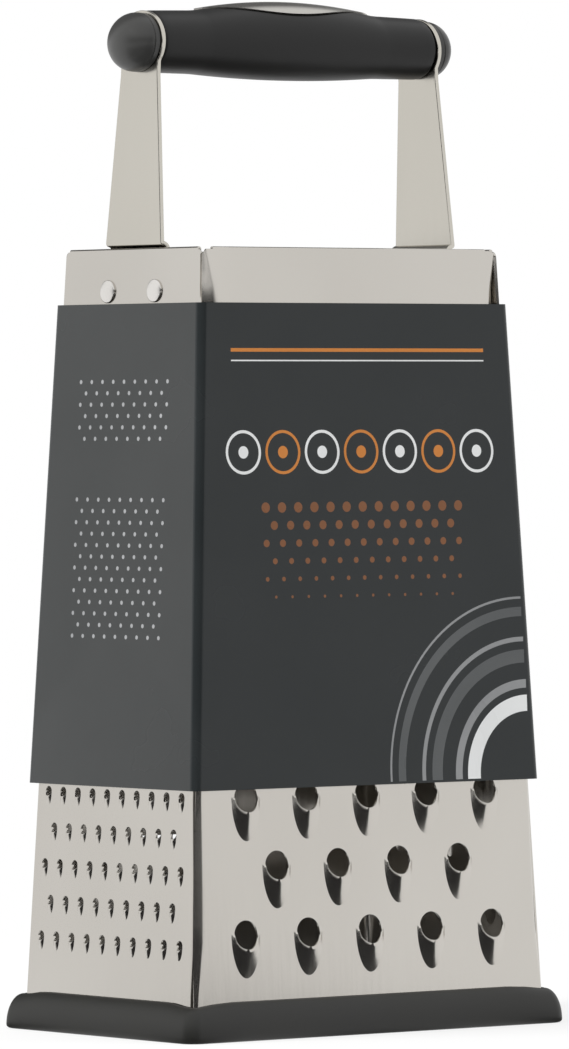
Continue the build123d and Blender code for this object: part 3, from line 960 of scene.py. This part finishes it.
def turned(skin, profile, place, sides, stretch=1.0):
    """A turned form from its heights and radii, about the third axis of a place; stretch makes it oval"""
    origin, along, up, out = (np.array(v) for v in place)
    turns = [2 * math.pi * n / sides for n in range(sides)]
    rows = []
    for height, radius in profile:
        rows.append([origin + radius * (stretch * math.cos(a) * along + math.sin(a) * up) + height * out
                     for a in turns])
    skin.add_grid(rows, around=True)


# End caps and rivets
CAP_HIGH = 7.55 * MM
CAP_DEEP = 9.0 * MM
CAP_RIM = 1.6 * MM
CAP_DOME = 5.7 * MM
CAP_CLEAR = 0.03 * MM
CAP_LINE = 0.12 * MM
CAP_EDGE = 0.2 * MM
CAP_SIDES = 56
DOME_START = 0.03
DOME_STEPS = 18
RIVET_DROP = 11 * MM
RIVET_SPREAD = 9.9 * MM
RIVET_HEAD = 2.95 * MM
RIVET_DOME = 0.9 * MM
RIVET_WALL = 0.45 * MM
RIVET_RIM_HIGH = 0.15 * MM
RIVET_RIM_WIDE = 0.06 * MM
RIVET_STEPS = 12
RIVET_SIDES = 40
RIVET_TAIL = 2.5 * MM
RIVET_TAIL_HEIGHT = 0.7 * MM
RIVET_TAIL_EDGE = 0.2 * MM
RIVET_TAIL_SIDES = 32


def cap(name, node, side):
    """An oval end cap: a short collar, a fine line and the dome"""
    origin, along, up, out = narrow_place(side)
    place = (origin + up * (GRIP_AXIS / math.cos(LONG_TILT)), along, up, out)
    profile = [(CAP_CLEAR, 0), (CAP_CLEAR, CAP_HIGH - CAP_EDGE), (CAP_CLEAR + CAP_EDGE, CAP_HIGH)]
    profile += [(CAP_RIM - CAP_LINE, CAP_HIGH), (CAP_RIM, CAP_HIGH - CAP_LINE)]
    for t in between(DOME_START, 1, DOME_STEPS):
        a = math.pi / 2 * t
        profile.append((CAP_RIM + CAP_DOME * math.sin(a), CAP_HIGH * math.cos(a)))
    skin = Skin()
    turned(skin, profile, place, CAP_SIDES, CAP_DEEP / CAP_HIGH)
    build(name, skin, [cap_plastic], "grater", [node], sharp=30, closed=True)


cap("left_end_cap", "left_cap", -1)
cap("right_end_cap", "right_cap", 1)


def rivets(name, node, side):
    """Two rivets: heads with an upright edge under a low dome, and tails on the strap's inner face"""
    origin, along, up, out = narrow_place(side)
    rise = RIVET_DOME - RIVET_WALL
    bulge = (RIVET_HEAD**2 + rise**2) / (2 * rise)
    profile = [(0, 0), (0, RIVET_HEAD), (RIVET_WALL - RIVET_RIM_HIGH, RIVET_HEAD),
               (RIVET_WALL, RIVET_HEAD - RIVET_RIM_WIDE)]
    for a in quarter_turn(RIVET_STEPS, 2):
        radius = RIVET_HEAD * math.cos(a)
        profile.append((RIVET_DOME - bulge + math.sqrt(bulge**2 - radius**2), radius))
    back = -SHEET - STRAP
    end = back - RIVET_TAIL_HEIGHT
    tail = [(end, 0), (end, RIVET_TAIL - RIVET_TAIL_EDGE), (end + RIVET_TAIL_EDGE, RIVET_TAIL),
            (back, RIVET_TAIL), (back, 0)]
    skin = Skin()
    for hand in (-1, 1):
        v = (BODY_TOP - RIVET_DROP) / math.cos(LONG_TILT)
        place = (origin + along * (hand * RIVET_SPREAD) + up * v, along, up, out)
        turned(skin, profile, place, RIVET_SIDES)
        turned(skin, tail, place, RIVET_TAIL_SIDES)
    build(name, skin, [bright_steel], "grater", [node], sharp=60, closed=True)


rivets("left_rivet_pair", "left_rivets", -1)
rivets("right_rivet_pair", "right_rivets", 1)

# The CAD's own core and screws, which are hidden, with a finish
for node in ("grip_core", "left_screw", "right_screw"):
    hidden = frame["nodes"][node]
    hidden.data.materials.clear()
    hidden.data.materials.append(strap_steel)

# The card sleeve
SLEEVE_FOOT = 63.1 * MM
SLEEVE_TOP = 185.8 * MM
CARD = 0.4 * MM
SLEEVE_SIDE_GAP = 0.95 * MM
SLEEVE_SIDE_GAP_FOOT = 1.25 * MM
SLEEVE_FACE_GAP = 1.5 * MM
SLEEVE_CREASE = 2.2 * MM
SLEEVE_ROWS = 12

# Its materials, in the order of their slots
CARD_SLOTS = [card_face, card_edge, card_back, print_white, print_orange, print_brown, print_grey, print_dim,
              card_side_painted_light]
FACE, EDGE, BACK, WHITE, ORANGE, BROWN, GREY, DIM, SIDE = range(len(CARD_SLOTS))

# Its print
RULES = [(171 * MM, 0.35 * MM, WHITE), (173.4 * MM, 0.9 * MM, ORANGE)]
RULE_INSET = 9 * MM
CHAIN_HEIGHT = 148 * MM
CHAIN_RADIUS = 5.6 * MM
CHAIN_STROKE = 0.75 * MM
CHAIN_HUB = 0.28
CHAIN_PITCH = 12.6 * MM
CHAIN_COUNT = 7
CHAIN_STEPS = 40
DOT_ROWS = 6
DOT_COLUMNS = 13
DOT_PITCH = 5.2 * MM
DOT_ROW_SHARE = 0.87
DOT_TOP = 134 * MM
DOT_MOST = 1.35 * MM
DOT_LEAST = 0.4 * MM
DOT_STEPS = 14
ARCS = [(17 * MM, 4.2 * MM, WHITE), (23 * MM, 2.2 * MM, GREY), (29.5 * MM, 3.4 * MM, DIM),
        (35 * MM, 1.2 * MM, GREY), (41.5 * MM, 2.4 * MM, DIM), (46 * MM, 0.6 * MM, GREY)]
ARC_INSET = 0.6 * MM
ARC_STEPS = 36
SIDE_FIELDS = [(166 * MM, 6), (136 * MM, 13)]
SIDE_COLUMNS = 9
SIDE_PITCH = 4.6 * MM
SIDE_ROW_PITCH = 2.9 * MM
SIDE_DOT = 0.55 * MM


def sleeve_half_x(z):
    share = (SLEEVE_TOP - z) / (SLEEVE_TOP - SLEEVE_FOOT)
    return half_length(z) + SLEEVE_SIDE_GAP + share * (SLEEVE_SIDE_GAP_FOOT - SLEEVE_SIDE_GAP) + CARD


def sleeve_half_y(z):
    return half_depth(z) + SLEEVE_FACE_GAP + CARD


def circle(u, z, radius, steps):
    turns = [2 * math.pi * n / steps for n in range(steps)]
    return [(u + radius * math.cos(a), z + radius * math.sin(a)) for a in turns]


def wide_print():
    """The print of a wide side, of plain rules, rings, dots and arcs: outlines and the slot inside each"""
    found = []
    reach = sleeve_half_x(SLEEVE_TOP) - RULE_INSET
    for z, width, slot in RULES:
        found.append(([(-reach, z), (reach, z), (reach, z + width), (-reach, z + width)], slot))
    for n, u in enumerate(staggered(0, CHAIN_COUNT, CHAIN_PITCH)):
        slot = ORANGE if n % 2 else WHITE
        found.append((circle(u, CHAIN_HEIGHT, CHAIN_RADIUS, CHAIN_STEPS), slot))
        found.append((circle(u, CHAIN_HEIGHT, CHAIN_RADIUS - CHAIN_STROKE, CHAIN_STEPS), FACE))
        found.append((circle(u, CHAIN_HEIGHT, CHAIN_RADIUS * CHAIN_HUB, CHAIN_STEPS), slot))
    for row, radius in enumerate(between(DOT_MOST, DOT_LEAST, DOT_ROWS - 1)):
        for u in staggered(row, DOT_COLUMNS, DOT_PITCH):
            found.append((circle(u, DOT_TOP - row * DOT_PITCH * DOT_ROW_SHARE, radius, DOT_STEPS), BROWN))
    right, low = sleeve_half_x(SLEEVE_FOOT) - SLEEVE_CREASE - ARC_INSET, SLEEVE_FOOT + ARC_INSET
    turns = quarter_turn(ARC_STEPS)
    for radius, width, slot in ARCS:
        loop = []
        for size, angles in ((radius + width, turns), (radius, turns[::-1])):
            for a in angles:
                lean = math.sin(a) * (radius + width) * LONG_SLOPE
                loop.append((right - size * math.cos(a) - lean, low + size * math.sin(a)))
        found.append((loop, slot))
    return found


def narrow_print():
    """The print of a narrow side: two fields of small grey dots"""
    rows = [(row, top - row * SIDE_ROW_PITCH) for top, count in SIDE_FIELDS for row in range(count)]
    return [(circle(u, z, SIDE_DOT, DOT_STEPS), GREY)
            for row, z in rows for u in staggered(row, SIDE_COLUMNS, SIDE_PITCH)]


def card_plane(skin, levels, half_width, base_slot, shapes, to_place):
    """One flat side of the card with its print; shapes further on lie over those before"""
    edge = [(half_width(z), z) for z in levels]
    corners, faces, middle = triangles([edge + mirrored(edge)] + [shape for shape, _ in shapes], [])
    slots = np.full(len(faces), base_slot)
    for loop, slot in shapes:
        slots[inside_small(middle, loop)] = slot
    points = [to_place(u, z) for u, z in corners]
    for slot in sorted(set(slots.tolist())):
        skin.add(points, [tuple(face) for face in faces[slots == slot]], slot)


def card_sleeve():
    skin = Skin()
    levels = between(SLEEVE_FOOT, SLEEVE_TOP, SLEEVE_ROWS)

    def band(z, inset):
        ring = ring_station(sleeve_half_x(z) - inset, sleeve_half_y(z) - inset, SLEEVE_CREASE - inset)
        return [(x, y, z) for x, y, _ in ring]

    rows = [band(z, 0) for z in levels]
    inner = [band(z, CARD) for z in reversed(levels)]
    quarter = RING_SIDE_STEPS + RING_CORNER_STEPS
    for n in range(4):
        first = n * quarter + RING_SIDE_STEPS
        picked = [(first + m) % (4 * quarter) for m in range(RING_CORNER_STEPS + 1)]
        skin.add_grid([[row[m] for m in picked] for row in rows])
    for side in (-1, 1):
        card_plane(skin, levels, lambda z: sleeve_half_x(z) - SLEEVE_CREASE, FACE, wide_print(),
                   lambda u, z: (-side * u, side * sleeve_half_y(z), z))
        # The narrow sides take the lighter card colour, painted light
        card_plane(skin, levels, lambda z: sleeve_half_y(z) - SLEEVE_CREASE, SIDE, narrow_print(),
                   lambda u, z: (side * sleeve_half_x(z), side * u, z))
    skin.add_grid([rows[-1], inner[0]], around=True, slot=EDGE)
    skin.add_grid(inner, around=True, slot=BACK)
    skin.add_grid([inner[-1], rows[0]], around=True, slot=EDGE)
    build("sleeve_card", skin, CARD_SLOTS, "sleeve", ["card_sleeve"], sharp=30,
          merge=0.001 * MM, closed=True)


card_sleeve()


# Floor, lights and camera

DARK_SIDE = 0.03
DARK_TURN = math.radians(-50)
DARK_INNER = math.cos(math.radians(58))
DARK_OUTER = math.cos(math.radians(68))
DARK_AIM = (math.sin(DARK_TURN), -math.cos(DARK_TURN), 0)
FLOOR_SIZE = 6.0
FLOOR_DROP = 0.02 * MM
FLOOR_SHADE_NEAR = 0.12
FLOOR_SHADE_FAR = 0.5
FLOOR_WHITE = 0.72
FLOOR_DARK_SHIFT = (-60 * MM, 0, 0)
# Where reflections of the floor under the body are darkened: a painted shadow
FLOOR_PAINTED_SHADOW_INSIDE = 0.03
FLOOR_PAINTED_SHADOW_OUTSIDE = 0.05
FLOOR_DARK_NEAR = [0.058, 0.078]
FLOOR_DARK_FAR = [0.9, 1.5]
DARK_RISE = [0.18, 0.38]


def combined(made, operation, first, second):
    return add_node(made, "Math", {0: first, 1: second}, operation=operation).outputs["Value"]


def mixed(made, share, first, second):
    """Two shaders mixed; share is that of the second"""
    return add_node(made, "MixShader", {0: share, 1: first, 2: second}).outputs["Shader"]


def dot(made, vector, fixed):
    return add_node(made, "VectorMath", {0: vector, 1: fixed}, operation="DOT_PRODUCT").outputs["Value"]


def floor():
    """White for the camera and in reflections, but dark in those of its front part, and in those under the
    body with a painted shadow; for the camera it keeps the real shadow
    """
    mesh = bpy.data.meshes.new("floor")
    corners = [(x * FLOOR_SIZE, y * FLOOR_SIZE, 0) for x, y in ((-1, -1), (1, -1), (1, 1), (-1, 1))]
    mesh.from_pydata(corners, [], [(0, 1, 2, 3)])
    made = material("floor_paint", (0.85, 0.85, 0.85), roughness=0.9, specular=0.1)
    path = add_node(made, "LightPath").outputs
    place = add_node(made, "TexCoord").outputs["Object"]
    away = add_node(made, "VectorMath", {0: place}, operation="LENGTH").outputs["Value"]
    shifted = add_node(made, "VectorMath", {0: place, 1: FLOOR_DARK_SHIFT}, operation="ADD").outputs["Vector"]
    toward = add_node(made, "VectorMath", {0: shifted}, operation="NORMALIZE").outputs["Vector"]
    front = dot(made, toward, DARK_AIM)
    near = ramp(made, away, FLOOR_SHADE_NEAR, FLOOR_SHADE_FAR, FLOOR_WHITE, 1)
    seen = combined(made, "MULTIPLY", near, path["Is Camera Ray"])
    gloss = ramp(made, front, DARK_OUTER, DARK_INNER, 1, DARK_SIDE, smooth=True)
    close = ramp(made, away, *FLOOR_DARK_NEAR, 1, 0, smooth=True)
    far = ramp(made, away, *FLOOR_DARK_FAR, 0, 1, smooth=True)
    gloss = combined(made, "MAXIMUM", gloss, combined(made, "MAXIMUM", close, far))
    # Painted shadow: the floor under the body is dark in reflections
    under = ramp(made, away, FLOOR_PAINTED_SHADOW_INSIDE, FLOOR_PAINTED_SHADOW_OUTSIDE, DARK_SIDE, 1)
    gloss = combined(made, "MULTIPLY", gloss, under)
    strength = combined(made, "MAXIMUM", gloss, path["Is Camera Ray"])
    white = add_node(made, "Emission", {"Strength": strength}).outputs["Emission"]
    share = combined(made, "MAXIMUM", seen, path["Is Glossy Ray"])
    nodes = made.node_tree.nodes
    surface = mixed(made, share, nodes["Principled BSDF"].outputs["BSDF"], white)
    made.node_tree.links.new(surface, nodes["Material Output"].inputs["Surface"])
    made.cycles.emission_sampling = "NONE"
    mesh.materials.append(made)
    piece = linked("floor", mesh)
    piece.location = (0, 0, -FLOOR_DROP)


floor()


def camera():
    data = bpy.data.cameras.new("camera")
    data.sensor_width = SENSOR
    data.lens = FOCAL_PIXELS / PHOTO_HEIGHT * SENSOR
    data.clip_start = CAMERA_NEAR
    data.clip_end = CAMERA_FAR
    seen = linked("camera", data)
    turn = (Matrix.Rotation(CAMERA_AZIMUTH, 3, "Z") @ Matrix.Rotation(math.pi / 2 - CAMERA_PITCH, 3, "X")
            @ Matrix.Rotation(CAMERA_ROLL, 3, "Z"))
    place = Vector((0, 0, CAMERA_AIM_HEIGHT)) + turn @ Vector((-CAMERA_SIDE, 0, CAMERA_DISTANCE))
    seen.matrix_world = Matrix.Translation(place) @ turn.to_4x4()
    bpy.context.scene.camera = seen


camera()

AMBIENT = 0.55
FLAG_TURN = math.radians(165)
FLAG_RISE = math.radians(36)
FLAG_SIDE = 0.15
FLAG_INNER = math.cos(math.radians(27))
FLAG_OUTER = math.cos(math.radians(38))
FLAG_AIM = (math.sin(FLAG_TURN) * math.cos(FLAG_RISE), -math.cos(FLAG_TURN) * math.cos(FLAG_RISE),
            math.sin(FLAG_RISE))


def world():
    """White behind the object, soft even light on it, and a dark side round the camera for gloss"""
    made = bpy.data.worlds.new("studio")
    bpy.context.scene.world = made
    made.use_nodes = True
    made.cycles.sampling_method = "NONE"
    path = add_node(made, "LightPath").outputs
    place = add_node(made, "TexCoord").outputs["Generated"]
    height = add_node(made, "SeparateXYZ", {"Vector": place}).outputs["Z"]
    side = ramp(made, dot(made, place, DARK_AIM), DARK_OUTER, DARK_INNER, 1, DARK_SIDE, smooth=True)
    side = combined(made, "MAXIMUM", side, ramp(made, height, *DARK_RISE, 0, 1, smooth=True))
    above = ramp(made, dot(made, place, FLAG_AIM), FLAG_OUTER, FLAG_INNER, 1, FLAG_SIDE, smooth=True)
    white = {"Color": (1, 1, 1, 1)}
    strength = combined(made, "MULTIPLY", side, above)
    gloss = add_node(made, "Background", {**white, "Strength": strength}).outputs["Background"]
    behind = add_node(made, "Background", white).outputs["Background"]
    soft_light = made.node_tree.nodes["Background"]
    soft_light.inputs["Color"].default_value = white["Color"]
    soft_light.inputs["Strength"].default_value = AMBIENT
    lit = mixed(made, path["Is Glossy Ray"], soft_light.outputs["Background"], gloss)
    seen = combined(made, "MAXIMUM", path["Is Camera Ray"], path["Is Transmission Ray"])
    surface = mixed(made, seen, lit, behind)
    made.node_tree.links.new(surface, made.node_tree.nodes["World Output"].inputs["Surface"])


world()

LAMP_AIM = Vector((0, 0, 0.13))


def lamp(name, place, size, power):
    """A round lamp; its place and diameter are in metres, its power in watts"""
    data = bpy.data.lights.new(name, "AREA")
    data.shape = "DISK"
    data.size = size
    data.energy = power
    made = linked(name, data)
    made.location = place
    made.rotation_mode = "QUATERNION"
    made.rotation_quaternion = (LAMP_AIM - Vector(place)).to_track_quat("-Z", "Y")
    made.visible_glossy = False


lamp("left_light", (-1.5, 0.3, 0.9), 1.0, 28)
lamp("right_light", (1.2, -1.3, 0.9), 1.0, 8)
lamp("top_light", (0, 0, 1.8), 1.2, 10)

bpy.context.scene.view_settings.view_transform = "Standard"
